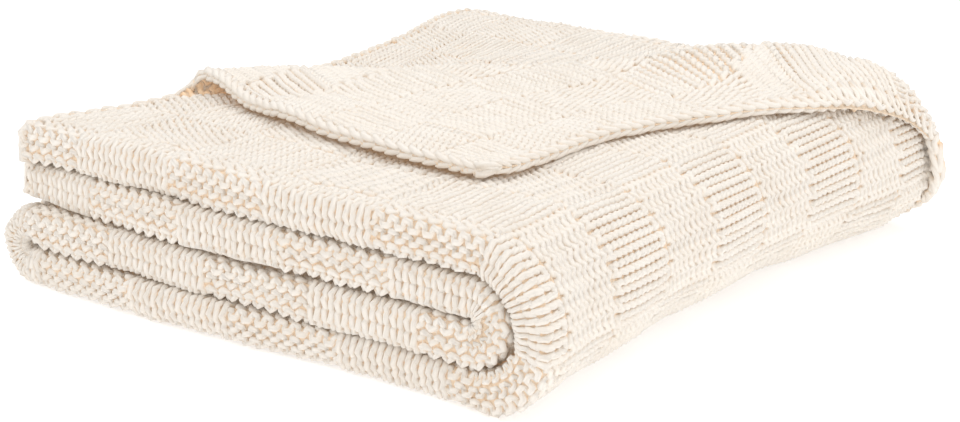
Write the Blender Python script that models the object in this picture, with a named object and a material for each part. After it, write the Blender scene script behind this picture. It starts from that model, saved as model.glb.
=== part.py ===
"""A knitted cotton throw, folded in thirds across its width and then in quarters along its length.

The cloth is one closed solid. A section of three plies is swept along the quarter fold, and the far
corner of the top ply is turned back over a slanting crease. Units are metres, +Z is up, the wrapped
end is at +X, the front fold edges are at -Y, and the origin is under the middle of the pile.
"""

import math

import bmesh
import bpy
import numpy as np

# The cloth and how closely it lies on itself
PLY = 0.0062
PLY_ROOM = 0.0074  # the room that an outermost ply takes in the pile, its air included
PLY_PITCH = 0.0081
LAYER_PITCH = 0.0268
EDGE_ROUND = 0.0012

# The folded pile
PILE_LENGTH = 0.425
PILE_WIDTH = 0.445
FREE_END_SETBACK = 0.022
SECOND_END_SETBACK = 0.020
INNER_TURN_SETBACK = 0.001
LEFT_TURN_SETBACK = 0.003

# The turned corner: a row for each station along the top ply, counted from its free end.
# crease: distance of the crease from the front edge; tip_along and tip_across: where the turned
# edge comes to lie; bend: radius of the crease; lift: how high the turned part stays above the ply;
# bow: how far the turned part swings out towards the front half way to its edge.
CORNER_COLUMNS = ("station", "crease", "tip_along", "tip_across", "bend", "lift", "bow")
CORNER = (
    (0.000, 0.106, 0.312, 0.074, 0.0082, 0.0030, 0.009),
    (0.050, 0.156, 0.312, 0.121, 0.0076, 0.0014, 0.006),
    (0.098, 0.201, 0.313, 0.167, 0.0056, 0.0004, 0.003),
    (0.140, 0.236, 0.320, 0.206, 0.0050, 0.0004, 0.000),
    (0.172, 0.260, 0.330, 0.233, 0.0048, 0.0004, 0.000),
    (0.224, 0.308, 0.352, 0.275, 0.0054, 0.0004, 0.000),
    (0.262, 0.356, 0.363, 0.308, 0.0076, 0.0004, 0.000),
    (0.290, 0.394, 0.371, 0.335, 0.0080, 0.0014, 0.000),
    (0.312, 0.414, 0.376, 0.354, 0.0062, 0.0020, 0.000),
    (0.334, 0.420, 0.382, 0.374, 0.0046, 0.0020, 0.000),
    (0.356, 0.422, 0.388, 0.394, 0.0046, 0.0020, 0.000),
    (0.376, 0.424, 0.394, 0.409, 0.0046, 0.0020, 0.000),
    (0.392, 0.426, 0.400, 0.418, 0.0046, 0.0004, 0.000),
    (0.402, 0.428, 0.404, 0.424, 0.0046, 0.0004, 0.000),
)
SETTLE = 0.080  # how far from the crease the turned part has come to rest on the ply
UNROLL_BEGIN = 0.402  # from here on the turned strip unrolls
HEM_ENDS = 0.452  # and from here on the outer ply lies flat to its edge
UNROLL_REACH = 0.0060  # length of the strip past its bend where it unrolls
HEM_DRAW = 0.009  # how far that ply's edge is drawn in where the hem ends
HEM_MARGIN = 0.0132  # the strip of that flat ply which continues the hem
MARGIN_SPREADS = 0.090  # and over this length the strip widens to SPREAD_MARGIN
SPREAD_MARGIN = 0.200

# How far the free end of the top layer is drawn in: rows of distance from the front edge and pull
FREE_END_PULL = (
    (0.000, 0.003),
    (0.030, 0.010),
    (0.070, 0.021),
    (0.100, 0.027),
    (0.200, 0.035),
    (0.270, 0.038),
    (0.350, 0.026),
    (0.410, 0.013),
    (0.445, 0.013),
)
PULL_REACH = 0.160  # how far along the layers the pull dies away

# How the front edges wander: a row of amplitude, wavelength and phase for each layer, top one first
EDGE_WANDER = (
    (0.0022, 0.260, 0.40),
    (0.0030, 0.310, 2.20),
    (0.0050, 0.700, 2.74),
    (0.0100, 0.700, 2.74),
)
WANDER_REACH = 0.120  # how far behind the front edge the wandering dies away

WRAP_SINK = 0.012  # how far the wrapped end sinks in at the floor, half way along it
SINK_MARGIN = 0.180  # how far from the front and back corners the sinking is complete
BACK_FLARE = 0.006  # how far the wrapped end's back corner stands out behind
BACK_FOOT = 0.010  # how far the wrapped end sags outwards near the floor at its back corner
FOOT_BEGIN = 0.270  # how far from the front edge the sagging begins
FOOT_RAMP = 0.100  # and over which length it grows
BACK_SWELL = 0.034  # share by which the pile is higher along its back edge
SWELL_BEGIN = 0.200  # how far from the front edge the swelling begins
SWELL_RAMP = 0.200  # and over which length it grows
SWELL_RISE = 0.050  # how far from the left end the swelling is complete
SWELL_END = 0.060  # the x at which it starts to die away
SWELL_FALL = 0.120  # and over which length it does so
MIDDLE_PLY_SETBACK = 0.006  # how far behind the front turns the middle ply's edge lies

# How finely each run is divided
STATIONS_TOP = 13
STATIONS_WRAP = 10
STATIONS_UNDER = 6
STATIONS_TURN = 6
POINTS_PLY = 10
POINTS_BACK_TURN = 4
POINTS_FRONT_TURN = 6
POINTS_TOP = 7
POINTS_CREASE = 6
POINTS_TURNED = 7

CREAM = (0.93, 0.87, 0.76, 1.0)
COTTON_ROUGHNESS = 0.9

LAYER_HALF = PLY_PITCH + PLY_ROOM / 2
WRAP_RADIUS = 1.5 * LAYER_PITCH
TURN_RADIUS = 0.5 * LAYER_PITCH
LEFT = -PILE_LENGTH / 2
FRONT = -PILE_WIDTH / 2
WRAP_CENTRE = PILE_LENGTH / 2 - WRAP_RADIUS - LAYER_HALF
TURN_CENTRE = LEFT + LEFT_TURN_SETBACK + TURN_RADIUS + LAYER_HALF
LAYER_HEIGHTS = tuple(LAYER_HALF + k * LAYER_PITCH for k in (3, 2, 1, 0))


def smooth(x):
    """A ramp from 0 to 1 with level ends."""
    x = min(max(x, 0.0), 1.0)
    return x * x * (3 - 2 * x)


def fold_runs():
    """The quarter fold as runs of (length, turn in radians), from the top layer's free end."""
    start = LEFT + FREE_END_SETBACK
    inner = WRAP_CENTRE - INNER_TURN_SETBACK
    return (
        (WRAP_CENTRE - start, 0.0),
        (math.pi * WRAP_RADIUS, -math.pi),
        (WRAP_CENTRE - TURN_CENTRE, 0.0),
        (math.pi * TURN_RADIUS, -math.pi),
        (inner - TURN_CENTRE, 0.0),
        (math.pi * TURN_RADIUS, math.pi),
        (inner - LEFT - SECOND_END_SETBACK, 0.0),
    )


def path_point(s):
    """Place (x, z) and outward normal (x, z) of the middle ply at distance s along the quarter fold."""
    x, z, heading = LEFT + FREE_END_SETBACK, LAYER_HEIGHTS[0], 0.0
    for length, turn in fold_runs():
        step = min(s, length)
        if turn == 0.0:
            x += step * math.cos(heading)
            z += step * math.sin(heading)
        else:
            radius = length / turn
            after = heading + step / radius
            x += radius * (math.sin(after) - math.sin(heading))
            z -= radius * (math.cos(after) - math.cos(heading))
            heading = after
        s -= step
        if s <= 0.0:
            break
    return x, z, -math.sin(heading), math.cos(heading)


def stations():
    """Distances along the quarter fold at which the section is placed."""
    shares = (
        STATIONS_TOP,
        STATIONS_WRAP,
        STATIONS_UNDER,
        STATIONS_TURN,
        STATIONS_UNDER,
        STATIONS_TURN,
        STATIONS_UNDER,
    )
    marks, begin = [0.0], 0.0
    for (length, _), count in zip(fold_runs(), shares):
        marks += [begin + length * (k + 1) / count for k in range(count)]
        begin += length
    return marks


def corner_at(s):
    """The corner table's values at distance s, as a dictionary."""
    rows = np.array(CORNER)
    return {
        name: float(np.interp(s, rows[:, 0], rows[:, k]))
        for k, name in enumerate(CORNER_COLUMNS)
    }


def level_ply(s, marks, height, side):
    """Points of a level stretch of ply; side is 1 where the cloth's right side faces up, else -1."""
    return [(s, float(across), height, 0.0, 0.0, side) for across in marks]


def flat_top_ply(s):
    """The outer ply past the turned corner, flat to its edge, its strips widening gradually."""
    share = min((s - HEM_ENDS) / MARGIN_SPREADS, 1.0)
    end = PILE_WIDTH - PLY_ROOM / 2 - HEM_DRAW * (1 - smooth(share))
    margin = HEM_MARGIN + (SPREAD_MARGIN - HEM_MARGIN) * share
    before = np.linspace(PLY_PITCH + PLY_ROOM / 2, end - margin, POINTS_TOP + 1)[1:]
    after = np.linspace(end - margin, end, POINTS_CREASE + POINTS_TURNED + 1)[1:]
    return level_ply(s, (*before, *after), PLY_PITCH, 1)


def turned_top_ply(s):
    """The outer ply up to its crease, round the crease and back to where its edge lies."""
    row = corner_at(s)
    crease, bend = row["crease"], row["bend"]
    points = level_ply(s, np.linspace(PLY_PITCH + PLY_ROOM / 2, crease, POINTS_TOP + 1)[1:], PLY_PITCH, 1)
    toward = np.array([row["tip_along"] - s, row["tip_across"] - crease])
    span = float(np.hypot(*toward))
    beyond = np.array([0.0, 1.0]) - toward / span
    beyond /= np.hypot(*beyond)
    slide = np.array([beyond[1], -beyond[0]]) * (-beyond[0] / beyond[1])
    for k in range(1, POINTS_CREASE + 1):
        angle = math.pi * k / POINTS_CREASE
        sine, cosine = math.sin(angle), math.cos(angle)
        step = bend * (beyond * sine + slide * angle)
        height = PLY_PITCH + bend * (1 - cosine)
        points.append((s + step[0], crease + step[1], height, *(-beyond * sine), cosine))
    start = np.array(points[-1][:2])
    tip = np.array([row["tip_along"], row["tip_across"]])
    rest = PLY_PITCH + row["lift"]
    for k in range(1, POINTS_TURNED + 1):
        share = k / POINTS_TURNED
        spot = start + (tip - start) * share
        spot[1] -= row["bow"] * 4 * share * (1 - share)
        height = 2 * bend + (rest - 2 * bend) * smooth(share * span / SETTLE)
        points.append((*spot, PLY_PITCH + height, 0.0, 0.0, -1))
    return points


def unrolling_top_ply(s):
    """The outer ply where its turned strip unrolls, from a half turn until it lies flat."""
    row = corner_at(s)
    share = smooth((s - UNROLL_BEGIN) / (HEM_ENDS - UNROLL_BEGIN))
    flat_crease = PILE_WIDTH - PLY_ROOM / 2 - HEM_DRAW - HEM_MARGIN
    crease = row["crease"] + (flat_crease - row["crease"]) * share
    roll = math.pi * (1 - share)
    radius = row["bend"] * max(roll, math.pi / 2) / roll
    points = level_ply(s, np.linspace(PLY_PITCH + PLY_ROOM / 2, crease, POINTS_TOP + 1)[1:], PLY_PITCH, 1)
    for k in range(1, POINTS_CREASE + POINTS_TURNED + 1):
        angle = roll * min(k / POINTS_CREASE, 1.0)
        straight = UNROLL_REACH * max(k - POINTS_CREASE, 0) / POINTS_TURNED
        across = crease + radius * math.sin(angle) + straight * math.cos(roll)
        height = PLY_PITCH + radius * (1 - math.cos(angle)) + straight * math.sin(roll)
        points.append((s, across, height, 0.0, -math.sin(angle), math.cos(angle)))
    return points


def top_ply(s):
    """Points (along, across, height) of the outer ply at station s, from the front turn to its edge."""
    if s > HEM_ENDS:
        return flat_top_ply(s)
    return unrolling_top_ply(s) if s > UNROLL_BEGIN else turned_top_ply(s)


def section(s):
    """Middle line of the three plies at station s, from the middle ply's edge to the outer ply's.

    Each point is its (along, across, height) and the normal of the cloth's right side there.
    """
    back = PILE_WIDTH - PLY_PITCH / 2 - PLY_ROOM / 2
    front = PLY_PITCH + PLY_ROOM / 2
    line = level_ply(s, np.linspace(front + MIDDLE_PLY_SETBACK, back, POINTS_PLY + 1), 0.0, 1)
    for k in range(1, POINTS_BACK_TURN):
        angle = math.pi * k / POINTS_BACK_TURN
        sine, cosine = math.sin(angle), math.cos(angle)
        line.append((s, back + PLY_PITCH / 2 * sine, PLY_PITCH / 2 * (cosine - 1), 0.0, sine, cosine))
    line += level_ply(s, np.linspace(back, front, POINTS_PLY + 1), -PLY_PITCH, -1)
    for k in range(1, POINTS_FRONT_TURN + 1):
        angle = math.pi * k / POINTS_FRONT_TURN
        sine, cosine = math.sin(angle), math.cos(angle)
        line.append((s, front - PLY_PITCH * sine, -PLY_PITCH * cosine, 0.0, -sine, -cosine))
    return line + top_ply(s)


def layer_of(s):
    """Which layer a station belongs to, 0 at the top, with the turns shared between neighbours."""
    ends = np.cumsum([length for length, _ in fold_runs()])
    centres = (ends[0] / 2, (ends[1] + ends[2]) / 2, (ends[3] + ends[4]) / 2, (ends[5] + ends[6]) / 2)
    return float(np.interp(s, centres, (0.0, 3.0, 2.0, 1.0)))


def wander(x, layer):
    """How far the front edge of a layer stands out of line at x."""
    low = int(math.floor(layer))
    high = min(low + 1, 3)
    out = []
    for k in (low, high):
        amplitude, wavelength, phase = EDGE_WANDER[k]
        out.append(amplitude * math.sin(2 * math.pi * x / wavelength + phase))
    return out[0] + (out[1] - out[0]) * (layer - low)


def place(along, across, height):
    """Where a point of the section comes to lie in the folded pile."""
    x, z, nx, nz = path_point(max(along, 0.0))
    x += min(along, 0.0) + height * nx
    z += height * nz
    y = FRONT + across
    y -= wander(x, layer_of(along)) * (1 - smooth(across / WANDER_REACH))
    pulls = np.array(FREE_END_PULL)
    pull = float(np.interp(across, pulls[:, 0], pulls[:, 1]))
    from_end = (x - LEFT - FREE_END_SETBACK) / PULL_REACH
    high = smooth((z - LAYER_HEIGHTS[1]) / LAYER_PITCH)
    x += pull * (1 - smooth(from_end)) * high
    middle = smooth(across / SINK_MARGIN) * smooth((PILE_WIDTH - across) / SINK_MARGIN)
    low = 1 - smooth(z / (2 * WRAP_RADIUS))
    y += BACK_FLARE * smooth(x / WRAP_CENTRE) * smooth(2 * across / PILE_WIDTH - 1)
    foot = BACK_FOOT * smooth((across - FOOT_BEGIN) / FOOT_RAMP)
    x += (foot - WRAP_SINK * middle) * low * smooth(x / WRAP_CENTRE)
    swell = smooth((x - LEFT) / SWELL_RISE) * (1 - smooth((x - SWELL_END) / SWELL_FALL))
    z *= 1 + BACK_SWELL * swell * smooth((across - SWELL_BEGIN) / SWELL_RAMP)
    return x, y, z


def ribbon(line):
    """Both faces of one ply line and its two edges, as a closed loop of (along, across, height)."""
    line = np.array(line)
    middle, offset = line[:, :3], line[:, 3:] * PLY / 2
    edges = []
    for end, inside in ((0, 1), (-1, -2)):
        out = middle[end] - middle[inside]
        edges.append(middle[end] + out / np.linalg.norm(out) * EDGE_ROUND)
    return [edges[0], *(middle + offset), edges[1], *(middle - offset)[::-1]]


def cotton():
    """Plain undyed cotton."""
    material = bpy.data.materials.new("undyed_cotton")
    material.use_nodes = True
    shader = material.node_tree.nodes["Principled BSDF"]
    shader.inputs["Base Color"].default_value = CREAM
    shader.inputs["Roughness"].default_value = COTTON_ROUGHNESS
    shader.inputs["Metallic"].default_value = 0.0
    return material


def centre_over_origin(mesh):
    """Moves the mesh so that the origin lies under the middle of its box, on the floor."""
    points = np.array([vertex.co[:] for vertex in mesh.verts])
    low, high = points.min(axis=0), points.max(axis=0)
    bmesh.ops.translate(
        mesh,
        verts=mesh.verts[:],
        vec=(-(low[0] + high[0]) / 2, -(low[1] + high[1]) / 2, -low[2]),
    )


def throw_blanket():
    """Sweeps the ribbon of plies along the quarter fold and closes both ends."""
    mesh = bmesh.new()
    rings = [
        [mesh.verts.new(place(*point)) for point in ribbon(section(s))]
        for s in stations()
    ]
    count = len(rings[0])
    for before, after in zip(rings, rings[1:]):
        for k in range(count):
            n = (k + 1) % count
            mesh.faces.new((before[k], before[n], after[n], after[k]))
    for ring, turned in ((rings[0], True), (rings[-1], False)):
        for k in range(count // 2):
            corners = [ring[k], ring[k + 1], ring[(count - k - 1) % count], ring[(count - k) % count]]
            corners = list(dict.fromkeys(corners))
            if turned:
                corners.reverse()
            mesh.faces.new(corners)
    bmesh.ops.triangulate(mesh, faces=mesh.faces[:])
    bmesh.ops.recalc_face_normals(mesh, faces=mesh.faces[:])
    if mesh.calc_volume(signed=True) < 0:
        bmesh.ops.reverse_faces(mesh, faces=mesh.faces[:])
    centre_over_origin(mesh)
    data = bpy.data.meshes.new("throw_blanket")
    mesh.to_mesh(data)
    mesh.free()
    data.shade_smooth()
    data.materials.append(cotton())
    return bpy.data.objects.new("throw_blanket", data)


def main():
    for old in list(bpy.data.objects):
        bpy.data.objects.remove(old, do_unlink=True)
    bpy.context.scene.collection.objects.link(throw_blanket())


main()
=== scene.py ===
"""Looks of the folded knitted cotton throw.

The cloth is a thin sheet on its solid's folds. On every side that shows, its yarn is knitted as real
loops: blocks of knit and purl stitches, in a basketweave. Units are metres.

A place on the cloth is (a, b): a runs along the quarter fold from the free end of the top layer, b runs
across it. On the outer ply b is the distance from the pile's front edge; the front turn, the inner ply,
the back turn and the middle ply follow at ever lower b.
"""

import math

import bpy
import numpy as np
from mathutils import Matrix, Vector


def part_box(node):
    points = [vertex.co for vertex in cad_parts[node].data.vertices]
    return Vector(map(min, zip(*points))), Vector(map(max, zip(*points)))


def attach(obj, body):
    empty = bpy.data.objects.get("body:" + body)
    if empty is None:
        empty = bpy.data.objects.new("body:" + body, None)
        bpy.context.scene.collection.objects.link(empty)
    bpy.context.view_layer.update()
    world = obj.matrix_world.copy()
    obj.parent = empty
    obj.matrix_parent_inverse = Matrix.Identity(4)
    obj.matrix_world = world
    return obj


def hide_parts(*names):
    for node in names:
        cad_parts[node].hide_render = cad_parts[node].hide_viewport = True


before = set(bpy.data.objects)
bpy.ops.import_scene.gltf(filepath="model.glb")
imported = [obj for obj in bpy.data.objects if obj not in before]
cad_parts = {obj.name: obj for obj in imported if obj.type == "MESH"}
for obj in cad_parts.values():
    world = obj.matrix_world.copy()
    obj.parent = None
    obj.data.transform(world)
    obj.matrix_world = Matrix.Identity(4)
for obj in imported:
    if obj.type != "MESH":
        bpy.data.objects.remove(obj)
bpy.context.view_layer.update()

NODE = "throw_blanket"

# The cloth and how closely it lies on itself
PLY_ROOM = 0.0074  # the room that an outermost ply takes in the pile, its air included
PLY_PITCH = 0.0081
LAYER_PITCH = 0.0268

# The folded pile
PILE_LENGTH = 0.425
PILE_WIDTH = 0.445
FREE_END_SETBACK = 0.022
SECOND_END_SETBACK = 0.020
INNER_TURN_SETBACK = 0.001
LEFT_TURN_SETBACK = 0.003

# The turned corner: a row for each station along the top ply, counted from its free end.
# crease: distance of the crease from the front edge; tip_along and tip_across: where the turned
# edge comes to lie; bend: radius of the crease; lift: how high the turned part stays above the ply;
# bow: how far the turned part swings out towards the front half way to its edge.
CORNER_COLUMNS = ("station", "crease", "tip_along", "tip_across", "bend", "lift", "bow")
CORNER = (
    (0.000, 0.106, 0.312, 0.074, 0.0082, 0.0030, 0.009),
    (0.050, 0.156, 0.312, 0.121, 0.0076, 0.0014, 0.006),
    (0.098, 0.201, 0.313, 0.167, 0.0056, 0.0004, 0.003),
    (0.140, 0.236, 0.320, 0.206, 0.0050, 0.0004, 0.000),
    (0.172, 0.260, 0.330, 0.233, 0.0048, 0.0004, 0.000),
    (0.224, 0.308, 0.352, 0.275, 0.0054, 0.0004, 0.000),
    (0.262, 0.356, 0.363, 0.308, 0.0076, 0.0004, 0.000),
    (0.290, 0.394, 0.371, 0.335, 0.0080, 0.0014, 0.000),
    (0.312, 0.414, 0.376, 0.354, 0.0062, 0.0020, 0.000),
    (0.334, 0.420, 0.382, 0.374, 0.0046, 0.0020, 0.000),
    (0.356, 0.422, 0.388, 0.394, 0.0046, 0.0020, 0.000),
    (0.376, 0.424, 0.394, 0.409, 0.0046, 0.0020, 0.000),
    (0.392, 0.426, 0.400, 0.418, 0.0046, 0.0004, 0.000),
    (0.402, 0.428, 0.404, 0.424, 0.0046, 0.0004, 0.000),
)
CURVE_STATIONS = 240  # how many stations the smooth curve through these rows has
SETTLE = 0.080  # how far from the crease the turned part has come to rest on the ply
UNROLL_BEGIN = 0.402  # from here on the turned strip unrolls
HEM_ENDS = 0.452  # and from here on the outer ply lies flat to its edge
UNROLL_REACH = 0.0060  # length of the strip past its bend where it unrolls
HEM_DRAW = 0.009  # how far that ply's edge is drawn in where the hem ends
DRAW_REACH = 0.200  # how far in from the edge the drawing in has died away
MARGIN_SPREADS = 0.090  # and how far along the edge past the hem

# How far the free end of the top layer is drawn in: rows of distance from the front edge and pull
FREE_END_PULL = (
    (0.000, 0.003),
    (0.030, 0.010),
    (0.070, 0.021),
    (0.100, 0.027),
    (0.200, 0.035),
    (0.270, 0.038),
    (0.350, 0.026),
    (0.410, 0.013),
    (0.445, 0.013),
)
PULL_REACH = 0.160  # how far along the layers the pull dies away

# How the front edges wander: a row of amplitude, wavelength and phase for each layer, top one first
EDGE_WANDER = (
    (0.0022, 0.260, 0.40),
    (0.0030, 0.310, 2.20),
    (0.0050, 0.700, 2.74),
    (0.0100, 0.700, 2.74),
)
WANDER_REACH = 0.120  # how far behind the front edge the wandering dies away

WRAP_SINK = 0.012  # how far the wrapped end sinks in at the floor, half way along it
SINK_MARGIN = 0.180  # how far from the front and back corners the sinking is complete
BACK_FLARE = 0.006  # how far the wrapped end's back corner stands out behind
BACK_FOOT = 0.010  # how far the wrapped end sags outwards near the floor at its back corner
FOOT_BEGIN = 0.270  # how far from the front edge the sagging begins
FOOT_RAMP = 0.100  # and over which length it grows
BACK_SWELL = 0.034  # share by which the pile is higher along its back edge
SWELL_BEGIN = 0.200  # how far from the front edge the swelling begins
SWELL_RAMP = 0.200  # and over which length it grows
SWELL_RISE = 0.050  # how far from the left end the swelling is complete
SWELL_END = 0.060  # the x at which it starts to die away
SWELL_FALL = 0.120  # and over which length it does so
MIDDLE_PLY_SETBACK = 0.006  # how far behind the front turns the middle ply's edge lies
BOX_STATIONS = 900  # how many stations the pile's box is measured at

LAYER_HALF = PLY_PITCH + PLY_ROOM / 2
WRAP_RADIUS = 1.5 * LAYER_PITCH
TURN_RADIUS = 0.5 * LAYER_PITCH
LEFT = -PILE_LENGTH / 2
FRONT = -PILE_WIDTH / 2
WRAP_CENTRE = PILE_LENGTH / 2 - WRAP_RADIUS - LAYER_HALF
TURN_CENTRE = LEFT + LEFT_TURN_SETBACK + TURN_RADIUS + LAYER_HALF
LAYER_HEIGHTS = tuple(LAYER_HALF + k * LAYER_PITCH for k in (3, 2, 1, 0))

# The section across the folds, in b
FRONT_BEGIN = PLY_PITCH + PLY_ROOM / 2
BACK_BEGIN = PILE_WIDTH - PLY_PITCH / 2 - PLY_ROOM / 2
FRONT_TURN = FRONT_BEGIN - math.pi * PLY_PITCH
INNER_END = FRONT_TURN - (BACK_BEGIN - FRONT_BEGIN)
BACK_TURN = INNER_END - math.pi * PLY_PITCH / 2
MIDDLE_END = BACK_TURN - (BACK_BEGIN - FRONT_BEGIN - MIDDLE_PLY_SETBACK)
OUTER_END = PILE_WIDTH - PLY_ROOM / 2

# The knit: wales are counted along a and courses along b
WALE = 0.0098
COURSE = 0.00535
BLOCK_WALES = 8
BLOCK_COURSES = 10
FIRST_BORDER_A = 0.048  # where a border between blocks lies in a
FIRST_BORDER_B = 0.020  # and in b
YARN_RADIUS = 0.00208
LOOP_SWAY = 0.17  # share of a wale by which a loop's legs lean
LOOP_REACH = 0.84  # share of a course by which a loop reaches up and down
LOOP_DEPTH = 0.00205  # how far a loop's yarn swings out of the cloth's middle
LOOP_UNEVEN = 0.05  # share by which loops differ in reach
LOOP_STRAY = 0.00025  # how far loops lie out of line
TURN_OVER = 0.14  # share of a loop over which knit changes into purl
LAP = 0.10  # share of a loop by which one region's yarn runs on into the next
POINTS_LOOP = 10
POINTS_COARSE = 8  # for the regions that the photo does not show, or only just
COARSE_REGIONS = ("back", "left", "middle")
SIDES = 6  # the end caps are laid out for six
COURSE_SEED = 1000
ROUNDING = 1e-6  # keeps a stitch on a block's border on one side of it
LEAST_LENGTH = 1e-9  # keeps a direction from being divided by zero
# Where the turned part is stretched by more than the first and up to the second number, further
# courses lie between the others, at these shares of the way to the next
FILLERS = ((1.55, 2.7, (1 / 2,)), (2.7, 9.0, (1 / 3, 2 / 3)))
MOST_STRETCH = 2.0  # beyond this stretch the loops get no shorter
PROBE = 0.001  # the distance over which the cloth's directions are measured
LEAST_YARN = 0.50  # how thin yarn gets, as a share, where the cloth is drawn together
MOST_YARN = 1.12  # and how thick where the cloth is stretched

# The cloth's unevenness, and how its folds bulge
SWELLS = ((0.0008, 0.090, 3), (0.0004, 0.025, 4))  # rows of height, wavelength and seed
NOISE_WAVES = 9
NOISE_PACES = (0.6, 1.5)  # how slow and how quick a wave may be, as shares of the pace asked for
NOISE_PHASE = 6.28  # a wave's phase lies between 0 and this
FULLNESS = 0.0032  # how much the front turns bulge between their crown and their flat sides
PRESSED = 0.8  # share of the bulge that the floor takes away
CLOSING = 0.0012  # how much nearer the layers come to one another at the front

# Where each region of the yarn lies on the cloth
FRONT_FROM = -0.036
FRONT_TO = 0.032
FRONT_PARTS = 0.9  # the a at which the front's yarn is parted into its low and its high piece
FACES_FROM = 0.022  # from this b on the top's, the wrap's and the left end's yarn take over
TOP_ENDS = 0.380  # the station from which on the yarn belongs to the wrap
COVERED_ACROSS = 0.030  # how far the top's yarn runs on under the turned part, across
COVERED_ALONG = 0.022  # and along
PAST_CREASE = 0.002  # how far the top's yarn runs on past the crease
MIDDLE_ENDS = 0.345  # the station up to which the middle ply's yarn is laid
MIDDLE_LEAD = 0.004  # how far before the crease that yarn begins
REGION_LEAD = 0.012  # how far past their folds the turned part's, the back's and the left end's begin
REGION_TRAIL = 0.010  # how far past its last turn the wrap's and the left end's yarn runs on

# Painted shade, a warm darker tint deep in the knit: it grows downwards from a level, and where the layers
# meet
SHADE_BELOW = 0.0016  # the level, over the ply's middle
SHADE_DROP = 0.0044  # how far below it the tint is full
GAP_BEGIN = 0.012  # how far from the front fold the painted shade between the layers begins
GAP_RAMP = 0.014  # and over which length it grows
GAP_END = 0.045  # and how far in it ends
GAP_SHADE = 0.7  # its share of the full painted shade
PAINTED_GLOW = 0.16  # painted glow in the deep parts, standing in for light that the cotton lets through, as a share of full white

# The sheet that carries the yarn
SHEET_THICKNESS = 0.0012
SHEET_COUNTS = (42, 20, 16, 12, 12, 10, 10)  # stations on each run of the quarter fold
POINTS_MIDDLE_PLY = 11  # how many points its section has on each ply and turn
POINTS_BACK_TURN = 7
POINTS_INNER_PLY = 11
POINTS_FRONT_TURN = 9
POINTS_OUTER_PLY = 61
SHEET_SHADE = 0.75  # its share of the painted shade, so that the sheet shows darker and warmer deep in the knit
STRETCH_PALES = 2.0  # how quickly the sheet's painted shade gives way to cream where the cloth is stretched
UNDER_MARGIN = 0.032  # the underside is the sheet itself, from here on
UNDER_RAMP = 0.012  # and over which length it comes out to where the yarn would lie
UNDER_PALES = 8.0  # how much sooner than its relief the sheet's painted shade gives way to cream there
UNDER_RELIEF = 0.0026  # how much further out it lies there, level with the yarn round it
FLOOR_GAP = 0.0002  # how far over the floor the lowest points stay

# The edges are a braid of links: a link's two legs lie on the edge and its ends dive into the cloth
LINK_RADIUS = 0.00200
LINK_SPAN = 0.0078  # how far a link reaches through the cloth, from end to end
LINK_SLANT = 0.0005  # how much nearer together a link's legs are at their tips
LINK_DEPTH = 0.0012  # how far a link swings outwards and inwards
LINK_REACH = 0.86  # share of the distance between links by which each reaches to both sides
LINK_SET_IN = 0.0016  # how far inside the edge the braid's middle lies
LINK_DIVE = 0.0040  # how much further inside a link's ends lie
LINK_CURL = 6  # the higher, the more suddenly the ends dive
LINK_NARROWS = 0.5  # share by which a link's span is less at its ends
LINK_TRIM = 0.04  # share of a link's round that is left out at each end
LINK_LEVEL = 0.0040  # how high the braid's outside counts for the painted shade
POINTS_LINK = 10
TIP_RADIUS = 0.028  # the rounding of the cloth's turned corner
TIP_MOST = 1.2  # where the rounding grows no more: 0 is a radius inside the edge, 1 is the edge

# The cotton's surface
CREAM_DARK = (0.925, 0.855, 0.770, 1)
CREAM_LIGHT = (0.950, 0.890, 0.815, 1)
CREAM_FROM = 0.35  # the noise up to which cotton is all dark cream
CREAM_TO = 0.65  # and from which on it is all light cream
# the colour of the painted shade deep in the knit and of the painted glow there
SHADE_AND_GLOW_COLOUR = (0.88, 0.66, 0.45, 1)
ROUGHNESS = 0.92
SPECULAR = 0.15
SHEEN = 0.25
SHEEN_ROUGHNESS = 0.5
CLOUD_SCALE = 45.0
CLOUD_DETAIL = 3.0
FIBRE_SCALE = 1400.0
FIBRE_DETAIL = 2.0
FIBRE_BUMP = (0.35, 0.0003)  # strength and height of the fibres' relief
TWIST_BUMP = (0.35, 0.0003)  # of the yarn's twist
STITCH_BUMP = (0.8, 0.0012)  # and of the stitches on the sheet
TWIST_PITCH = 0.012  # the length on which the yarn's plies turn once
YARN_PLIES = 3
LEG_SHARE = 0.25  # share of a wale over which a stitch's leg rises on the sheet

# The floor and the light
WHITE = (1, 1, 1, 1)
FLOOR_REACH = 30.0
FLOOR_GREY = (0.75, 0.75, 0.75, 1)
FLOOR_ROUGHNESS = 0.9
FLOOR_GLOW = 0.45
SKY_STRENGTH = 0.66
LIGHT_TARGET = (0, 0, 0.05)
LIGHT_COLUMNS = ("name", "place_at", "size", "power")
LIGHTS = (
    ("key", (-0.9, -1.2, 1.6), 1.0, 9.0),
    ("top", (0.4, 0.5, 1.8), 1.4, 9.0),
    ("side", (1.5, -0.5, 1.0), 1.2, 5.5),
)

# The camera, from the photo's perspective: angles in degrees
PHOTO_WIDTH = 960
FOCAL_PIXELS = 2240.0
SENSOR_MM = 36.0
CAMERA_AZIMUTH = 37.6
CAMERA_ELEVATION = 18.3
CAMERA_DISTANCE = 1.46
CAMERA_DROP = 0.0224  # how far below its line of sight to the target the camera stands
CAMERA_TARGET_HEIGHT = 0.05


def smooth(x):
    """A ramp from 0 to 1 with level ends."""
    x = np.clip(x, 0.0, 1.0)
    return x * x * (3 - 2 * x)


def noise(points, scale, seed):
    """Smooth noise, mostly between -1 and 1, at an array of points, as summed waves."""
    rng = np.random.default_rng(seed)
    total = np.zeros(points.shape[:-1])
    for _ in range(NOISE_WAVES):
        way = rng.normal(size=points.shape[-1])
        way /= np.linalg.norm(way)
        pace = rng.uniform(*NOISE_PACES)
        phase = rng.uniform(0, NOISE_PHASE)
        total += np.sin(points @ way * (2 * math.pi / scale) * pace + phase)
    return total / math.sqrt(NOISE_WAVES)


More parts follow.
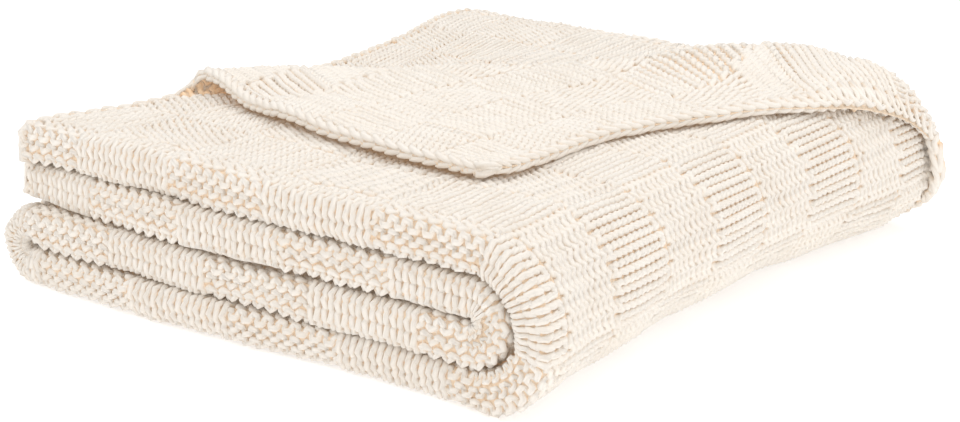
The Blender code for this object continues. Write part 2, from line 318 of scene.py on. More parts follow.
def fold_runs():
    """The quarter fold as runs of (length, turn in radians), from the top layer's free end."""
    start = LEFT + FREE_END_SETBACK
    inner = WRAP_CENTRE - INNER_TURN_SETBACK
    return (
        (WRAP_CENTRE - start, 0.0),
        (math.pi * WRAP_RADIUS, -math.pi),
        (WRAP_CENTRE - TURN_CENTRE, 0.0),
        (math.pi * TURN_RADIUS, -math.pi),
        (inner - TURN_CENTRE, 0.0),
        (math.pi * TURN_RADIUS, math.pi),
        (inner - LEFT - SECOND_END_SETBACK, 0.0),
    )


RUN_ENDS = np.cumsum([length for length, _ in fold_runs()])


def outer_lengths():
    """Length of the ply that lies outermost on each run of the quarter fold."""
    return np.array([length + abs(turn) * PLY_PITCH for length, turn in fold_runs()])


OUTER_ENDS = np.cumsum(outer_lengths())


def station_of(a):
    """Distance along the middle ply's path for a distance a along the outermost ply."""
    return np.interp(a, (-1.0, 0.0, *OUTER_ENDS), (-1.0, 0.0, *RUN_ENDS))


def path(s):
    """x, z and the outward normal's x and z of the middle ply at distances s along the quarter fold."""
    out = np.empty((4,) + s.shape)
    x, z, heading, begin = LEFT + FREE_END_SETBACK, LAYER_HEIGHTS[0], 0.0, 0.0
    for length, turn in fold_runs():
        step = np.clip(s - begin, 0.0, length)
        after = heading + turn * step / length
        if turn == 0.0:
            here = np.array([x + step * math.cos(heading), z + step * math.sin(heading)])
            last = (x + length * math.cos(heading), z + length * math.sin(heading))
        else:
            radius = length / turn
            end = heading + turn
            here = np.array([
                x + radius * (np.sin(after) - math.sin(heading)),
                z - radius * (np.cos(after) - math.cos(heading)),
            ])
            last = (
                x + radius * (math.sin(end) - math.sin(heading)),
                z - radius * (math.cos(end) - math.cos(heading)),
            )
        reached = s >= begin
        out[:2, reached] = here[:, reached]
        out[2, reached] = -np.sin(after)[reached]
        out[3, reached] = np.cos(after)[reached]
        x, z = last
        heading += turn
        begin += length
    return out


def layer_of(s):
    """Which layer a station belongs to, 0 at the top, with the turns shared between neighbours."""
    e = RUN_ENDS
    centres = (e[0] / 2, (e[1] + e[2]) / 2, (e[3] + e[4]) / 2, (e[5] + e[6]) / 2)
    return np.interp(s, centres, (0.0, 3.0, 2.0, 1.0))


def wander(x, layer):
    """How far the front edge of a layer stands out of line at x."""
    waves = np.array([
        amplitude * np.sin(2 * math.pi * x / wavelength + phase)
        for amplitude, wavelength, phase in EDGE_WANDER
    ])
    low = np.clip(np.floor(layer).astype(int), 0, 3)
    high = np.minimum(low + 1, 3)
    first = np.take_along_axis(waves, low[None], 0)[0]
    second = np.take_along_axis(waves, high[None], 0)[0]
    return first + (second - first) * (layer - low)


def place(along, across, height):
    """Where points of the section come to lie in the folded pile."""
    x, z, nx, nz = path(np.maximum(along, 0.0))
    x = x + np.minimum(along, 0.0) + height * nx
    z = z + height * nz
    y = FRONT + across
    y = y - wander(x, layer_of(along)) * (1 - smooth(across / WANDER_REACH))
    pulls = np.array(FREE_END_PULL)
    pull = np.interp(across, pulls[:, 0], pulls[:, 1])
    from_end = (x - LEFT - FREE_END_SETBACK) / PULL_REACH
    high = smooth((z - LAYER_HEIGHTS[1]) / LAYER_PITCH)
    x = x + pull * (1 - smooth(from_end)) * high
    middle = smooth(across / SINK_MARGIN) * smooth((PILE_WIDTH - across) / SINK_MARGIN)
    low = 1 - smooth(z / (2 * WRAP_RADIUS))
    y = y + BACK_FLARE * smooth(x / WRAP_CENTRE) * smooth(2 * across / PILE_WIDTH - 1)
    foot = BACK_FOOT * smooth((across - FOOT_BEGIN) / FOOT_RAMP)
    x = x + (foot - WRAP_SINK * middle) * low * smooth(x / WRAP_CENTRE)
    swelling = smooth((x - LEFT) / SWELL_RISE) * (1 - smooth((x - SWELL_END) / SWELL_FALL))
    z = z * (1 + BACK_SWELL * swelling * smooth((across - SWELL_BEGIN) / SWELL_RAMP))
    return np.stack([x, y, z], axis=-1)


def rounded_corner():
    """The corner table on close stations, as a smooth curve through its rows."""
    rows = np.array(CORNER)
    s = rows[:, 0]
    slopes = np.gradient(rows, s, axis=0)
    fine = np.linspace(s[0], s[-1], CURVE_STATIONS)
    k = np.clip(np.searchsorted(s, fine, side="right") - 1, 0, len(s) - 2)
    step = (s[k + 1] - s[k])[:, None]
    t = (fine - s[k])[:, None] / step
    curve = (
        (2 * t**3 - 3 * t**2 + 1) * rows[k]
        + (t**3 - 2 * t**2 + t) * step * slopes[k]
        + (3 * t**2 - 2 * t**3) * rows[k + 1]
        + (t**3 - t**2) * step * slopes[k + 1]
    )
    return fine, curve


CORNER_STATIONS, CORNER_CURVE = rounded_corner()
FREE_EDGE_SLOPES = (CORNER_CURVE[1] - CORNER_CURVE[0]) / CORNER_STATIONS[1]


def corner_at(s):
    """The corner's values at stations s, by name, carried straight on past the free edge."""
    return {
        name: np.interp(s, CORNER_STATIONS, CORNER_CURVE[:, k]) + FREE_EDGE_SLOPES[k] * np.minimum(s, 0.0)
        for k, name in enumerate(CORNER_COLUMNS)
    }


def turned_ply(s, b, offset):
    """The outer ply at and past its crease: along, across and height."""
    row = corner_at(s)
    crease, bend = row["crease"], row["bend"]
    toward = np.stack([row["tip_along"] - s, row["tip_across"] - crease], axis=-1)
    span = np.hypot(toward[..., 0], toward[..., 1])
    beyond = np.array([0.0, 1.0]) - toward / span[..., None]
    beyond /= np.hypot(beyond[..., 0], beyond[..., 1])[..., None]
    slide = np.stack([beyond[..., 1], -beyond[..., 0]], axis=-1)
    slide *= (-beyond[..., 0] / beyond[..., 1])[..., None]
    inside = np.clip((b - crease) / (OUTER_END - crease), 0.0, 1.0)
    share = inside * (math.pi * bend + span) + np.maximum(b - OUTER_END, 0.0)
    angle = np.minimum(share / bend, math.pi)
    sine, cosine = np.sin(angle), np.cos(angle)
    spot = np.stack([s, crease], axis=-1)
    spot = spot + beyond * (bend * sine)[..., None] + slide * (bend * angle)[..., None]
    start = np.stack([s, crease], axis=-1) + slide * (bend * math.pi)[..., None]
    tip = np.stack([row["tip_along"], row["tip_across"]], axis=-1)
    t = np.maximum(share - math.pi * bend, 0.0) / span
    turned = start + (tip - start) * t[..., None]
    turned[..., 1] -= row["bow"] * 4 * t * (1 - t)
    past = (t > 0)[..., None]
    spot = np.where(past, turned, spot)
    height = PLY_PITCH + bend * (1 - cosine)
    rest = PLY_PITCH + row["lift"]
    settled = PLY_PITCH + 2 * bend + (rest - 2 * bend) * smooth(t * span / SETTLE)
    height = np.where(t > 0, settled, height) + offset * cosine
    spot = spot - beyond * (offset * sine)[..., None]
    unrolls = s > UNROLL_BEGIN
    across, risen = unrolling_ply(s, crease, bend, inside, offset)
    along = np.where(unrolls, s, spot[..., 0])
    return along, np.where(unrolls, across, spot[..., 1]), np.where(unrolls, risen, height)


def unrolled(s):
    """How far the turned strip has unrolled at stations s: 0 while turned, 1 where it lies flat."""
    return smooth((s - UNROLL_BEGIN) / (HEM_ENDS - UNROLL_BEGIN))


def drawn_in(s, b):
    """How far the outer ply is drawn in from its edge, past the turned corner."""
    spread = unrolled(s) * (1 - smooth((s - HEM_ENDS) / MARGIN_SPREADS))
    return HEM_DRAW * spread * smooth((b - OUTER_END) / DRAW_REACH + 1)


def unrolling_ply(s, crease, bend, inside, offset):
    """Across and height of the turned strip where it unrolls, from a half turn until it lies flat."""
    roll = np.maximum(math.pi * (1 - unrolled(s)), PROBE)
    arc = bend * np.maximum(roll, math.pi / 2)
    share = inside * (arc + UNROLL_REACH)
    angle = roll * np.minimum(share / arc, 1.0)
    straight = np.maximum(share - arc, 0.0)
    across = crease - drawn_in(s, crease) + arc / roll * np.sin(angle) + straight * np.cos(roll)
    height = PLY_PITCH + arc / roll * (1 - np.cos(angle)) + straight * np.sin(roll)
    return across - offset * np.sin(angle), height + offset * np.cos(angle)


def round_tip(a, b):
    """Places near the cloth's turned corner, drawn in so that the corner is round."""
    u = np.clip(1 - a / TIP_RADIUS, 0.0, TIP_MOST)
    v = np.clip(1 - (OUTER_END - b) / TIP_RADIUS, 0.0, TIP_MOST)
    inwards_a = TIP_RADIUS * u * (1 - np.sqrt(1 - v * v / 2))
    inwards_b = TIP_RADIUS * v * (1 - np.sqrt(1 - u * u / 2))
    return a + inwards_a, b - inwards_b


def cloth(a, b, offset):
    """Places on the cloth: offset is measured from the ply's middle towards the cloth's right side."""
    a, b, offset = np.broadcast_arrays(a, b, offset)
    a, b = round_tip(a, b)
    s = station_of(a)
    along, across, height = s.copy(), b.copy(), PLY_PITCH + offset
    turn = (FRONT_BEGIN - b) / PLY_PITCH
    front = (turn > 0) & (turn < math.pi)
    radius = PLY_PITCH + offset
    across = np.where(front, FRONT_BEGIN - radius * np.sin(turn), across)
    height = np.where(front, radius * np.cos(turn), height)
    inner = turn >= math.pi
    across = np.where(inner, FRONT_BEGIN + FRONT_TURN - b, across)
    height = np.where(inner, -radius, height)
    turn = (INNER_END - b) / (PLY_PITCH / 2)
    back = (turn > 0) & (turn < math.pi)
    radius = PLY_PITCH / 2 + offset
    across = np.where(back, BACK_BEGIN + radius * np.sin(turn), across)
    height = np.where(back, -PLY_PITCH / 2 - radius * np.cos(turn), height)
    middle = turn >= math.pi
    across = np.where(middle, BACK_BEGIN - (BACK_TURN - b), across)
    height = np.where(middle, offset, height)
    across = np.where(b > FRONT_BEGIN, across - drawn_in(s, b), across)
    turned = (b > corner_at(s)["crease"]) & (s <= HEM_ENDS)
    if turned.any():
        along[turned], across[turned], height[turned] = turned_ply(s[turned], b[turned], offset[turned])
    return place(along, across, height)


def section_marks():
    """Values of b at which the sheet's section has points, from the middle ply's edge to the outer's."""
    return np.concatenate([
        np.linspace(MIDDLE_END, BACK_TURN, POINTS_MIDDLE_PLY)[:-1],
        np.linspace(BACK_TURN, INNER_END, POINTS_BACK_TURN),
        np.linspace(INNER_END, FRONT_TURN, POINTS_INNER_PLY)[1:-1],
        np.linspace(FRONT_TURN, FRONT_BEGIN, POINTS_FRONT_TURN),
        np.linspace(FRONT_BEGIN, OUTER_END, POINTS_OUTER_PLY)[1:],
    ])


def object_of(name, points, faces, uvs=None, painted_shade=None):
    """A mesh object from arrays of points and four-cornered faces, with yarn coordinates and painted shade.
    """
    mesh = bpy.data.meshes.new(name)
    mesh.vertices.add(len(points))
    mesh.vertices.foreach_set("co", points.astype(np.float32).ravel())
    mesh.loops.add(faces.size)
    mesh.loops.foreach_set("vertex_index", faces.astype(np.int32).ravel())
    mesh.polygons.add(len(faces))
    starts = np.arange(0, faces.size, faces.shape[1], dtype=np.int32)
    mesh.polygons.foreach_set("loop_start", starts)
    mesh.update(calc_edges=True)
    if uvs is not None:
        layer = mesh.uv_layers.new(name="yarn")
        layer.data.foreach_set("uv", uvs[faces].astype(np.float32).ravel())
    if painted_shade is not None:
        values = mesh.attributes.new("painted_shade", "FLOAT", "POINT")
        values.data.foreach_set("value", painted_shade.astype(np.float32))
    mesh.shade_smooth()
    piece = bpy.data.objects.new(name, mesh)
    bpy.context.scene.collection.objects.link(piece)
    return piece


def underside(a, b):
    """1 on the lowest ply's face on the floor, where no yarn is laid, falling to 0 round it."""
    inside = (a - OUTER_ENDS[1], OUTER_ENDS[2] - a, b - UNDER_MARGIN, OUTER_END - b)
    return np.prod([smooth(distance / UNDER_RAMP) for distance in inside], axis=0)


def base_sheet(shift):
    """The cloth itself, as a thin closed sheet that carries the yarn."""
    ends = (0.0, *OUTER_ENDS)
    marks = [0.0]
    for begin, end, count in zip(ends, ends[1:], SHEET_COUNTS):
        marks += list(np.linspace(begin, end, count + 1)[1:])
    a, b = np.broadcast_arrays(np.array(marks)[:, None], section_marks()[None, :])
    middle = swell(a, b)
    bare = underside(a, b)
    right = cloth(a, b, middle + SHEET_THICKNESS / 2 + UNDER_RELIEF * bare) + shift
    wrong = cloth(a, b, middle - SHEET_THICKNESS / 2) + shift
    rings = np.concatenate([right, wrong[:, ::-1]], axis=1)
    rings[..., 2] = np.maximum(rings[..., 2], FLOOR_GAP)
    s = station_of(a)
    unrolling = (s > UNROLL_BEGIN) & (s < HEM_ENDS) & (b > corner_at(s)["crease"] - UNROLL_REACH)
    over_all = np.maximum(smooth(STRETCH_PALES * (stretch(a, b) - 1.0)), unrolling)
    covered = 1 - smooth(UNDER_PALES * bare)
    # painted shade on the sheet: full where it lies deep, giving way to cream where the cloth is stretched
    # or unrolls, and on the right side where it lies bare on the floor
    painted_shade = SHEET_SHADE * np.concatenate([covered * (1 - over_all), 1 - over_all], axis=1)
    places = np.stack([a / WALE, b / COURSE], axis=-1)
    places = np.concatenate([places, places[:, ::-1]], axis=1)
    rows, columns = rings.shape[:2]
    index = np.arange(rows * columns).reshape(rows, columns)
    following = np.roll(index, -1, axis=1)
    sides = np.stack([index[:-1], index[1:], following[1:], following[:-1]], axis=-1).reshape(-1, 4)
    half_way = columns // 2
    caps = []
    for ring, turned in ((index[0], False), (index[-1], True)):
        top = ring[:half_way]
        under = ring[half_way:][::-1]
        cap = np.stack([top[:-1], top[1:], under[1:], under[:-1]], axis=-1)
        caps.append(cap[:, ::-1] if turned else cap)
    faces = np.concatenate([sides, *caps])
    return object_of("cloth_sheet", rings.reshape(-1, 3), faces, places.reshape(-1, 2), painted_shade.ravel())


def tubes(lines, normals, radius, level, side_shown):
    """Closed tubes along many lines of equal length: points, faces, yarn coordinates and levels.

    The level is how high a point stands over the middle of the ply, on the side that shows.
    """
    count, length = lines.shape[:2]
    ahead = np.gradient(lines, axis=1)
    ahead /= np.linalg.norm(ahead, axis=2, keepdims=True)
    side = np.cross(ahead, normals)
    side /= np.linalg.norm(side, axis=2, keepdims=True)
    up = np.cross(side, ahead)
    angles = np.arange(SIDES) * 2 * math.pi / SIDES
    spokes = np.cos(angles)[:, None] * up[:, :, None] + np.sin(angles)[:, None] * side[:, :, None]
    ring = lines[:, :, None] + radius[:, :, None, None] * spokes
    index = np.arange(count * length * SIDES).reshape(count, length, SIDES)
    following = np.roll(index, -1, axis=2)
    faces = np.stack(
        [index[:, :-1], following[:, :-1], following[:, 1:], index[:, 1:]], axis=-1
    ).reshape(-1, 4)
    ends = np.concatenate([index[:, 0, ::-1], index[:, -1]])
    faces = np.concatenate([faces, ends[:, (0, 1, 2, 3)], ends[:, (3, 4, 5, 0)]])
    steps = np.linalg.norm(np.diff(lines, axis=1), axis=2)
    distance = np.concatenate([np.zeros((count, 1)), np.cumsum(steps, axis=1)], axis=1)
    around = np.broadcast_to(np.arange(SIDES) / SIDES, (count, length, SIDES))
    uvs = np.stack([np.broadcast_to(distance[:, :, None], around.shape), around], axis=-1)
    levels = level[:, :, None] + (side_shown * radius)[:, :, None] * np.cos(angles)
    return ring.reshape(-1, 3), faces, uvs.reshape(-1, 2), levels


def knit_side(column, row):
    """1 where the stitch at these block columns and rows shows knit on the right side, -1 for purl."""
    return np.where((column + row) % 2 == 1, 1.0, -1.0)


def stitch_sign(wale, b):
    """Knit or purl, for wale numbers and course places b."""
    column = np.floor((wale * WALE - FIRST_BORDER_A) / (BLOCK_WALES * WALE) + ROUNDING)
    row = np.floor((b - FIRST_BORDER_B) / (BLOCK_COURSES * COURSE) + ROUNDING)
    return knit_side(column, row)


def stretch(a, b):
    """How much longer the folded shape is than the cloth, across the courses at places a, b."""
    a, b = np.broadcast_arrays(a, b)
    return np.linalg.norm(cloth(a, b + PROBE, 0.0) - cloth(a, b, 0.0), axis=-1) / PROBE


def course(b, first, last, seed, points):
    """One course's yarn over wales first to last: a, b, depth and level along it."""
    count = (last - first) * points + 3
    place_on = np.linspace(max(first - LAP, 0.0), last + LAP, count)
    tight = 1 / np.clip(stretch(place_on * WALE, b), 1.0, MOST_STRETCH)
    t = place_on * 2 * math.pi
    wale = np.floor(place_on)
    share = place_on - wale
    here = stitch_sign(wale, b)
    before = stitch_sign(wale - 1, b)
    after = stitch_sign(wale + 1, b)
    early = smooth(0.5 + share / TURN_OVER / 2)
    sign = np.where(share < TURN_OVER, before + (here - before) * early, here)
    late = smooth((share - 1 + TURN_OVER) / TURN_OVER / 2)
    sign = np.where(share > 1 - TURN_OVER, here + (after - here) * late, sign)
    marks = np.arange(int(OUTER_ENDS[-1] / WALE) + 2)
    uneven = np.interp(place_on, marks, np.random.default_rng(seed).normal(size=len(marks)))
    a = place_on * WALE + WALE * LOOP_SWAY * np.sin(2 * t)
    reach = COURSE * LOOP_REACH * (1 + LOOP_UNEVEN * uneven) * tight
    across = b - reach * np.cos(t) + LOOP_STRAY * uneven
    depth = -sign * LOOP_DEPTH * np.cos(2 * t)
    return a, across, depth, facing(a, across) * depth


def at_left_turn(a):
    """1 on the turn at the pile's left end, falling to 0 at both sides of it."""
    return smooth((a - OUTER_ENDS[2]) / GAP_RAMP + 1) * smooth((OUTER_ENDS[3] - a) / GAP_RAMP + 1)


def swell(a, b):
    """How far the cloth stands outwards: its bulging folds and its slow unevenness, in metres."""
    spots = np.stack(np.broadcast_arrays(a, b), axis=-1)
    turn = np.clip((FRONT_BEGIN - b) / PLY_PITCH, 0.0, math.pi)
    near = smooth((b + GAP_END) / GAP_RAMP) * smooth((GAP_END - b) / GAP_RAMP)
    lowest = smooth((a - OUTER_ENDS[1]) / GAP_RAMP + 1) * smooth((OUTER_ENDS[2] - a) / GAP_RAMP)
    pressed = PRESSED * lowest * (turn < math.pi / 2)
    full = FULLNESS * np.sin(2 * turn) ** 2 + CLOSING * near * np.cos(turn) ** 2
    full = full * (1 - np.maximum(pressed, at_left_turn(a)))
    return full + sum(size * noise(spots, scale, seed) for size, scale, seed in SWELLS)


def facing(a, b):
    """-1 on the turned part of the outer ply, whose wrong side shows, else 1."""
    s = station_of(a)
    return np.where((b > corner_at(s)["crease"]) & (s <= UNROLL_BEGIN), -1.0, 1.0)


def painted_shade_of(a, b, levels):
    """How much painted shade, a warm darker tint, yarn has: low in the knit, and where the layers meet.

    The turned corner's tip has none of the knit's own.
    """
    low = smooth((SHADE_BELOW - levels) / SHADE_DROP)
    covered = smooth(a / GAP_END) * smooth((OUTER_ENDS[-1] - a) / GAP_END) * (1 - at_left_turn(a))
    under = smooth((-GAP_BEGIN - b) / GAP_RAMP) * (b > -GAP_END)
    over = smooth((b - GAP_BEGIN) / GAP_RAMP) * (a > OUTER_ENDS[3]) * (b < GAP_END)
    tip = smooth(np.hypot(a, OUTER_END - b) / TIP_RADIUS)
    shade = low * tip[:, :, None] + (GAP_SHADE * covered * (under + over))[:, :, None]
    return np.clip(shade, 0.0, 1.0).ravel()


def laid(a, b, depth, shift):
    """Points of yarn at places on the cloth, its right-side normals and how much it is drawn together."""
    out = depth + swell(a, b)
    points = cloth(a, b, out)
    normals = cloth(a, b, out + PROBE) - points
    normals /= np.maximum(np.linalg.norm(normals, axis=-1, keepdims=True), LEAST_LENGTH)
    beside = cloth(a + PROBE, b, out) - points
    drawn = np.clip(np.linalg.norm(beside, axis=-1) / PROBE, LEAST_YARN, MOST_YARN)
    return points + shift, normals, drawn


def edge_across(s):
    """How far from the front edge the turned part's edges lie, over the ply below, at stations s."""
    rows = {name: CORNER_CURVE[:, k] for k, name in enumerate(CORNER_COLUMNS)}
    tip = rows["tip_along"][0]
    straight = rows["crease"][0] + (rows["tip_across"][0] - rows["crease"][0]) * s / tip
    hem = np.interp(s, rows["tip_along"], rows["tip_across"])
    return np.where(s < tip, straight, hem)


def shown(wale, b):
    """Which region of the yarn a stitch belongs to, or none where it never shows."""
    a = (wale + 0.5) * WALE
    s = station_of(a)
    ends = OUTER_ENDS
    crease = corner_at(s)["crease"]
    region = np.full(np.broadcast(a, b).shape, "", dtype=object)
    a, b, s = np.broadcast_arrays(a, b, s)
    crease = np.broadcast_to(crease, a.shape)
    inside = (a > 0) & (a < ends[-1])
    front = inside & (b > FRONT_FROM) & (b < FRONT_TO)
    region[front & (a < FRONT_PARTS)] = "front_low"
    region[front & (a >= FRONT_PARTS)] = "front_high"
    face = (b >= FACES_FROM) & (b < OUTER_END)
    edge = np.maximum(edge_across(s) + COVERED_ACROSS, edge_across(s + COVERED_ALONG))
    top = (s < TOP_ENDS) & (b >= FACES_FROM) & (b < edge) & (b < crease + PAST_CREASE)
    region[inside & top] = "top"
    wrap = face & (s >= TOP_ENDS) & (a < ends[1] + REGION_TRAIL)
    region[inside & wrap] = "wrap"
    flap = (s < HEM_ENDS) & (b > crease - REGION_LEAD) & (b < OUTER_END)
    region[inside & flap] = "flap"
    across_middle = BACK_BEGIN - (BACK_TURN - b)
    middle = (b < BACK_TURN) & (across_middle > crease - MIDDLE_LEAD) & (s < MIDDLE_ENDS)
    region[inside & middle] = "middle"
    back = (b >= BACK_TURN) & (b < INNER_END + REGION_LEAD)
    region[inside & back] = "back"
    left = face & (a > ends[2] - REGION_LEAD) & (a < ends[3] + REGION_TRAIL)
    region[inside & left] = "left"
    return region


def link_chain(begin, end, pitch):
    """A chain of links from begin to end: place along the edge, place outwards, and depth, a row a link."""
    count = max(int(round((end - begin) / pitch)), 1)
    step = (end - begin) / count
    middles = begin + (np.arange(count) + 0.5) * step
    share = np.linspace(LINK_TRIM, 1 - LINK_TRIM, POINTS_LINK)
    t = share * 2 * math.pi
    near_end = np.abs(2 * share - 1) ** LINK_CURL
    depth = (LINK_SPAN * (share - 0.5) - LINK_SLANT * np.sin(2 * t)) * (1 - LINK_NARROWS * near_end)
    along = middles[:, None] - step * LINK_REACH * np.cos(t)
    out = -LINK_SET_IN - LINK_DEPTH * np.cos(2 * t) - LINK_DIVE * near_end
    return along, np.broadcast_to(out, along.shape), np.broadcast_to(depth, along.shape)


def yarn_piece(name, lines, radius, shift):
    """One object of all the yarn lines given: arrays of a, b, depth and level, a row a yarn."""
    points, faces, uvs, painted_shades, count = [], [], [], [], 0
    for a, b, depth, level in lines:
        at, normals, drawn = laid(a, b, depth, shift)
        p, f, u, levels = tubes(at, normals, radius * drawn, level, facing(a, b))
        p[:, 2] = np.maximum(p[:, 2], FLOOR_GAP)
        points.append(p)
        faces.append(f + count)
        uvs.append(u)
        # the painted shade of each point of yarn
        painted_shades.append(painted_shade_of(a, b, levels))
        count += len(p)
    return object_of(name, *map(np.concatenate, (points, faces, uvs, painted_shades)))


def edge_chains(shift):
    """The selvedges at both free ends and the cast-off edge along the outer ply."""
    sets = []
    for edge, outwards in ((0.0, -1.0), (OUTER_ENDS[-1], 1.0)):
        along, out, depth = link_chain(MIDDLE_END, OUTER_END, 2 * COURSE)
        sets.append((edge + outwards * out, along, depth, out + LINK_LEVEL))
    along, out, depth = link_chain(0.0, OUTER_ENDS[-1], WALE)
    sets.append((along, OUTER_END + out, depth, out + LINK_LEVEL))
    return yarn_piece("yarn_edges", sets, LINK_RADIUS, shift)


def knit(shift):
    """The yarn of every stitch that shows, one piece for each region."""
    last_wale = int(OUTER_ENDS[-1] / WALE)
    wales = np.arange(0, last_wale)
    top_course = int((OUTER_END - FIRST_BORDER_B) / COURSE)
    low_course = int((MIDDLE_END - FIRST_BORDER_B) / COURSE)
    parts = {}
    rows_of_yarn = [(j, 0.5, None, None) for j in range(low_course, top_course)]
    for least, most, shares in FILLERS:
        rows_of_yarn += [(j, 0.5 + share, least, most) for j in range(top_course) for share in shares]
    for j, share, least, most in rows_of_yarn:
        b = FIRST_BORDER_B + (j + share) * COURSE
        regions = shown(wales, np.full(len(wales), b))
        if least is not None:
            stretched = stretch((wales + 0.5) * WALE, b)
            regions[(regions != "flap") | (stretched <= least) | (stretched > most)] = ""
        begin = 0
        for k in range(1, len(wales) + 1):
            if k < len(wales) and regions[k] == regions[begin]:
                continue
            if regions[begin]:
                coarse = regions[begin] in COARSE_REGIONS
                rows = course(b, begin, k, COURSE_SEED + j, POINTS_COARSE if coarse else POINTS_LOOP)
                parts.setdefault(regions[begin], []).append([row[None] for row in rows])
            begin = k
    return [yarn_piece(f"yarn_{name}", lines, YARN_RADIUS, shift) for name, lines in sorted(parts.items())]


def math_node(nodes, links, operation, first, second=None):
    """The output of a maths node on one or two inputs, each a number or another node's output."""
    node = nodes.new("ShaderNodeMath")
    node.operation = operation
    for socket, value in zip(node.inputs, (first, second)):
        if isinstance(value, bpy.types.NodeSocket):
            links.new(value, socket)
        elif value is not None:
            socket.default_value = value
    return node.outputs["Value"]


def relief(nodes, links, knitted):
    """Height for a bump: twisted plies along a yarn, or rows of stitches on the sheet."""
    place_on = nodes.new("ShaderNodeUVMap")
    place_on.uv_map = "yarn"
    split = nodes.new("ShaderNodeSeparateXYZ")
    links.new(place_on.outputs["UV"], split.inputs["Vector"])
    if not knitted:
        turns = math_node(nodes, links, "MULTIPLY", split.outputs["X"], 2 * math.pi / TWIST_PITCH)
        round_it = math_node(nodes, links, "MULTIPLY", split.outputs["Y"], 2 * math.pi * YARN_PLIES)
        return math_node(nodes, links, "SINE", math_node(nodes, links, "ADD", turns, round_it))
    legs = math_node(nodes, links, "PINGPONG", split.outputs["X"], LEG_SHARE)
    turns = math_node(nodes, links, "MULTIPLY", split.outputs["Y"], 2 * math.pi)
    rows = math_node(nodes, links, "SINE", turns)
    return math_node(nodes, links, "ADD", math_node(nodes, links, "MULTIPLY", legs, 1 / LEG_SHARE), rows)


def cotton(name, knitted):
    """Undyed cotton with soft fibres, with painted shade and a painted glow deep in the knit: as a twisted
    yarn, or as the sheet with stitches in relief.
    """
    material = bpy.data.materials.new(name)
    material.use_nodes = True
    nodes, links = material.node_tree.nodes, material.node_tree.links
    shader = nodes["Principled BSDF"]
    shader.inputs["Roughness"].default_value = ROUGHNESS
    shader.inputs["Specular IOR Level"].default_value = SPECULAR
    shader.inputs["Sheen Weight"].default_value = SHEEN
    shader.inputs["Sheen Roughness"].default_value = SHEEN_ROUGHNESS
    coords = nodes.new("ShaderNodeTexCoord")
    clouds = nodes.new("ShaderNodeTexNoise")
    clouds.inputs["Scale"].default_value = CLOUD_SCALE
    clouds.inputs["Detail"].default_value = CLOUD_DETAIL
    links.new(coords.outputs["Object"], clouds.inputs["Vector"])
    tint = nodes.new("ShaderNodeValToRGB")
    tint.color_ramp.elements[0].position = CREAM_FROM
    tint.color_ramp.elements[0].color = CREAM_DARK
    tint.color_ramp.elements[1].position = CREAM_TO
    tint.color_ramp.elements[1].color = CREAM_LIGHT
    links.new(clouds.outputs["Fac"], tint.inputs["Fac"])
    # painted shade: the attribute mixes the cream towards a warm darker colour deep in the knit and between
    # the layers
    painted_shade = nodes.new("ShaderNodeAttribute")
    painted_shade.attribute_name = "painted_shade"
    shaded = nodes.new("ShaderNodeMixRGB")
    shaded.inputs["Color2"].default_value = SHADE_AND_GLOW_COLOUR
    links.new(painted_shade.outputs["Fac"], shaded.inputs["Fac"])
    links.new(tint.outputs["Color"], shaded.inputs["Color1"])
    links.new(shaded.outputs["Color"], shader.inputs["Base Color"])
    # painted glow: those deep parts glow faintly in that colour, standing in for light let through the
    # cotton
    shader.inputs["Emission Color"].default_value = SHADE_AND_GLOW_COLOUR
    links.new(
        math_node(nodes, links, "MULTIPLY", painted_shade.outputs["Fac"], PAINTED_GLOW),
        shader.inputs["Emission Strength"],
    )
    fibres = nodes.new("ShaderNodeTexNoise")
    fibres.inputs["Scale"].default_value = FIBRE_SCALE
    fibres.inputs["Detail"].default_value = FIBRE_DETAIL
    links.new(coords.outputs["Object"], fibres.inputs["Vector"])
    fuzz = nodes.new("ShaderNodeBump")
    fuzz.inputs["Strength"].default_value = FIBRE_BUMP[0]
    fuzz.inputs["Distance"].default_value = FIBRE_BUMP[1]
    links.new(fibres.outputs["Fac"], fuzz.inputs["Height"])
    bump = nodes.new("ShaderNodeBump")
    strength, height = STITCH_BUMP if knitted else TWIST_BUMP
    bump.inputs["Strength"].default_value = strength
    bump.inputs["Distance"].default_value = height
    links.new(relief(nodes, links, knitted), bump.inputs["Height"])
    links.new(fuzz.outputs["Normal"], bump.inputs["Normal"])
    links.new(bump.outputs["Normal"], shader.inputs["Normal"])
    return material


def floor():
    """A plain pale floor."""
    corners = ((-1, -1, 0), (1, -1, 0), (1, 1, 0), (-1, 1, 0))
    plane = object_of("floor", np.array(corners) * FLOOR_REACH, np.array([[0, 1, 2, 3]]))
    material = bpy.data.materials.new("floor")
    material.use_nodes = True
    shader = material.node_tree.nodes["Principled BSDF"]
    shader.inputs["Base Color"].default_value = FLOOR_GREY
    shader.inputs["Roughness"].default_value = FLOOR_ROUGHNESS
    shader.inputs["Emission Color"].default_value = WHITE
    shader.inputs["Emission Strength"].default_value = FLOOR_GLOW
    plane.data.materials.append(material)


def light(name, place_at, size, power):
    """A soft square light that faces the pile."""
    data = bpy.data.lights.new(name, "AREA")
    data.size = size
    data.energy = power
    lamp = bpy.data.objects.new(name, data)
    lamp.location = place_at
    lamp.rotation_euler = (Vector(LIGHT_TARGET) - Vector(place_at)).to_track_quat("-Z", "Y").to_euler()
    bpy.context.scene.collection.objects.link(lamp)


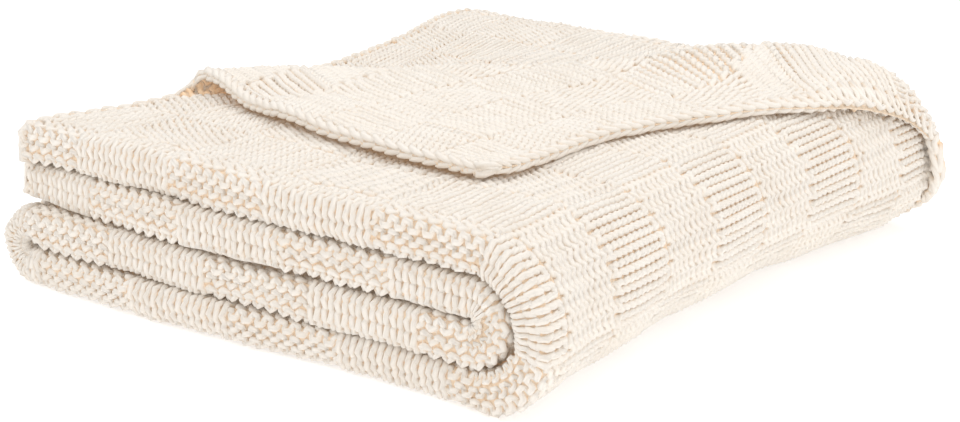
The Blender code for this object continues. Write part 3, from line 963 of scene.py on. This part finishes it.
def studio():
    """Plain soft light from all round, with lamps at the front left, above and at the right."""
    world = bpy.data.worlds.new("studio")
    world.use_nodes = True
    background = world.node_tree.nodes["Background"]
    background.inputs["Color"].default_value = WHITE
    background.inputs["Strength"].default_value = SKY_STRENGTH
    bpy.context.scene.world = world
    bpy.context.scene.view_settings.view_transform = "Standard"
    for row in LIGHTS:
        light(**dict(zip(LIGHT_COLUMNS, row)))


def camera(shift):
    """The camera at the photograph's angle and distance."""
    azimuth, elevation = math.radians(CAMERA_AZIMUTH), math.radians(CAMERA_ELEVATION)
    back = Vector((
        math.sin(azimuth) * math.cos(elevation),
        -math.cos(azimuth) * math.cos(elevation),
        math.sin(elevation),
    ))
    right = Vector((math.cos(azimuth), math.sin(azimuth), 0.0))
    up = back.cross(right)
    data = bpy.data.cameras.new("camera")
    data.sensor_width = SENSOR_MM
    data.lens = FOCAL_PIXELS / PHOTO_WIDTH * SENSOR_MM
    viewer = bpy.data.objects.new("camera", data)
    target = Vector((0.0, 0.0, CAMERA_TARGET_HEIGHT)) + Vector(shift)
    location = target + back * CAMERA_DISTANCE - up * CAMERA_DROP
    turned = Matrix((right, up, back)).transposed().to_4x4()
    viewer.matrix_world = Matrix.Translation(location) @ turned
    bpy.context.scene.collection.objects.link(viewer)
    bpy.context.scene.camera = viewer


def shift_to_frame():
    """How far the pile moves so that the middle of its box lies over the origin."""
    a = np.linspace(0.0, OUTER_ENDS[-1], BOX_STATIONS)[:, None]
    b = section_marks()[None, :]
    faces = np.concatenate([cloth(a, b, side * PLY_ROOM / 2).reshape(-1, 3) for side in (-1, 1)])
    middle = (faces.min(axis=0) + faces.max(axis=0)) / 2
    low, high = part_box(NODE)
    return np.array([(low[0] + high[0]) / 2 - middle[0], (low[1] + high[1]) / 2 - middle[1], 0.0])


def main():
    shift = shift_to_frame()
    sheet = base_sheet(shift)
    yarns = [*knit(shift), edge_chains(shift)]
    sheet.data.materials.append(cotton("cotton_sheet", True))
    yarn_cotton = cotton("cotton_yarn", False)
    for piece in yarns:
        piece.data.materials.append(yarn_cotton)
    for piece in (sheet, *yarns):
        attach(piece, "root")
    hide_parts(NODE)
    floor()
    studio()
    camera(shift)


main()
